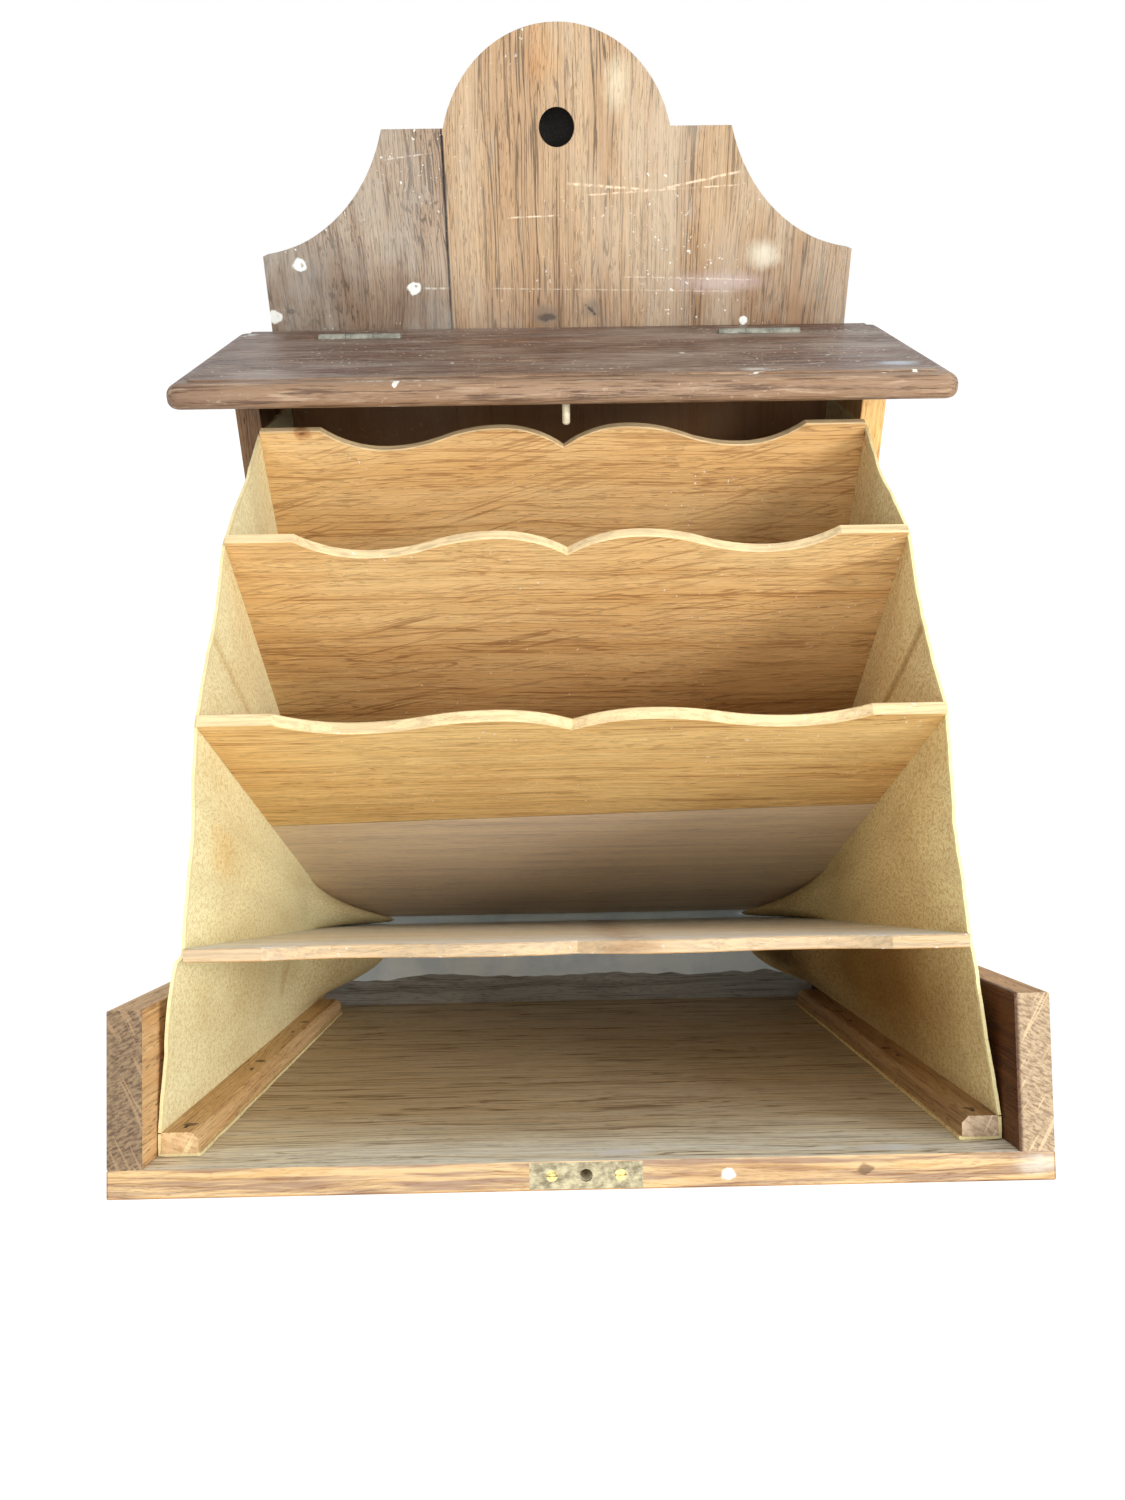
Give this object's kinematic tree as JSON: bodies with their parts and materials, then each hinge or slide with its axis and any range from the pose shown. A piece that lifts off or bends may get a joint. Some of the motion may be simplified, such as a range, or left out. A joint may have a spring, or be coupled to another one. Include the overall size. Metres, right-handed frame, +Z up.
{
  "type": "paper rack",
  "caption": "Wall-hung oak paper rack with a shaped backboard, a hinged lid and a drop front that fans out leather-sided dividers.",
  "frame": {"origin": "axis of the hanging hole, in the wall plane at the back of the backboard", "axes": "+Z up, +Y into the wall, +X to the right of someone facing the rack"},
  "size_m": [0.426, 0.484, 0.6554],
  "materials": {
    "oak_dark": "worn wax",
    "oak_red": "satin wax",
    "oak_inner": "dry",
    "oak_pale": "dry",
    "leather": "matt suede",
    "lining": "matt",
    "brass": "tarnished",
    "pin_metal": "rubbed bright",
    "iron": "rusted"
  },
  "bodies": {
    "case": {"backboard_left": "oak_dark", "backboard_right": "oak_dark", "backboard_nails": "iron", "case_side_left": "oak_dark", "case_side_right": "oak_dark", "base_board": "oak_inner", "base_nails": "iron", "top_strip": "oak_red", "lid_hinge_fixed_leaves": "brass", "lid_hinge_pins": "brass", "lid_hinge_fixed_screws": "brass", "drop_hinge_fixed_leaves": "brass", "drop_hinge_pins": "brass", "drop_hinge_fixed_screws": "brass", "gusset_left": "leather", "gusset_right": "leather", "bottom_lining": "lining"},
    "lid": {"lid": "oak_red", "catch_pin": "pin_metal", "lid_hinge_moving_leaves": "brass", "lid_hinge_moving_screws": "brass"},
    "drop_front": {"drop_panel": "oak_inner", "cheek_left": "oak_dark", "cheek_right": "oak_dark", "bottom_rail": "oak_dark", "panel_nails": "iron", "rail_nails": "iron", "batten_left": "oak_pale", "batten_right": "oak_pale", "batten_nails": "iron", "catch_plate": "brass", "catch_plate_screws": "brass", "drop_hinge_moving_leaves": "brass", "drop_hinge_moving_screws": "brass"},
    "divider_1": {"divider_1": "oak_pale"},
    "divider_2": {"divider_2": "oak_pale"},
    "divider_3": {"divider_3": "oak_pale"},
    "divider_4": {"divider_4": "oak_pale"}
  },
  "joints": [
    {"name": "drop_front_hinge", "type": "hinge", "parent": "case", "child": "drop_front", "pos_m": [0, -0.1, -0.533], "axis": [-1, 0, 0], "range_deg": [0, 58.5], "deforming": ["gusset_left", "gusset_right", "bottom_lining"]},
    {"name": "divider_1_lean", "type": "hinge", "parent": "case", "child": "divider_1", "pos_m": [0, -0.1, -0.533], "axis": [-1, 0, 0], "range_deg": [0, 16.5]},
    {"name": "divider_2_lean", "type": "hinge", "parent": "divider_1", "child": "divider_2", "pos_m": [0, -0.1, -0.533], "axis": [-1, 0, 0], "range_deg": [0, 11.2]},
    {"name": "divider_3_lean", "type": "hinge", "parent": "divider_2", "child": "divider_3", "pos_m": [0, -0.1, -0.533], "axis": [-1, 0, 0], "range_deg": [0, 11.2]},
    {"name": "divider_4_lean", "type": "hinge", "parent": "divider_3", "child": "divider_4", "pos_m": [0, -0.1, -0.533], "axis": [-1, 0, 0], "range_deg": [0, 11.2]},
    {"name": "lid_hinge", "type": "hinge", "parent": "case", "child": "lid", "pos_m": [0, -0.051, -0.116], "axis": [-1, 0, 0], "range_deg": [0, 103]}
  ],
  "couplings": [
    {"joint": "divider_1_lean", "follows": "drop_front_hinge", "ratio": 0.28205},
    {"joint": "divider_2_lean", "follows": "drop_front_hinge", "ratio": 0.19145},
    {"joint": "divider_3_lean", "follows": "drop_front_hinge", "ratio": 0.19145},
    {"joint": "divider_4_lean", "follows": "drop_front_hinge", "ratio": 0.19145}
  ]
}
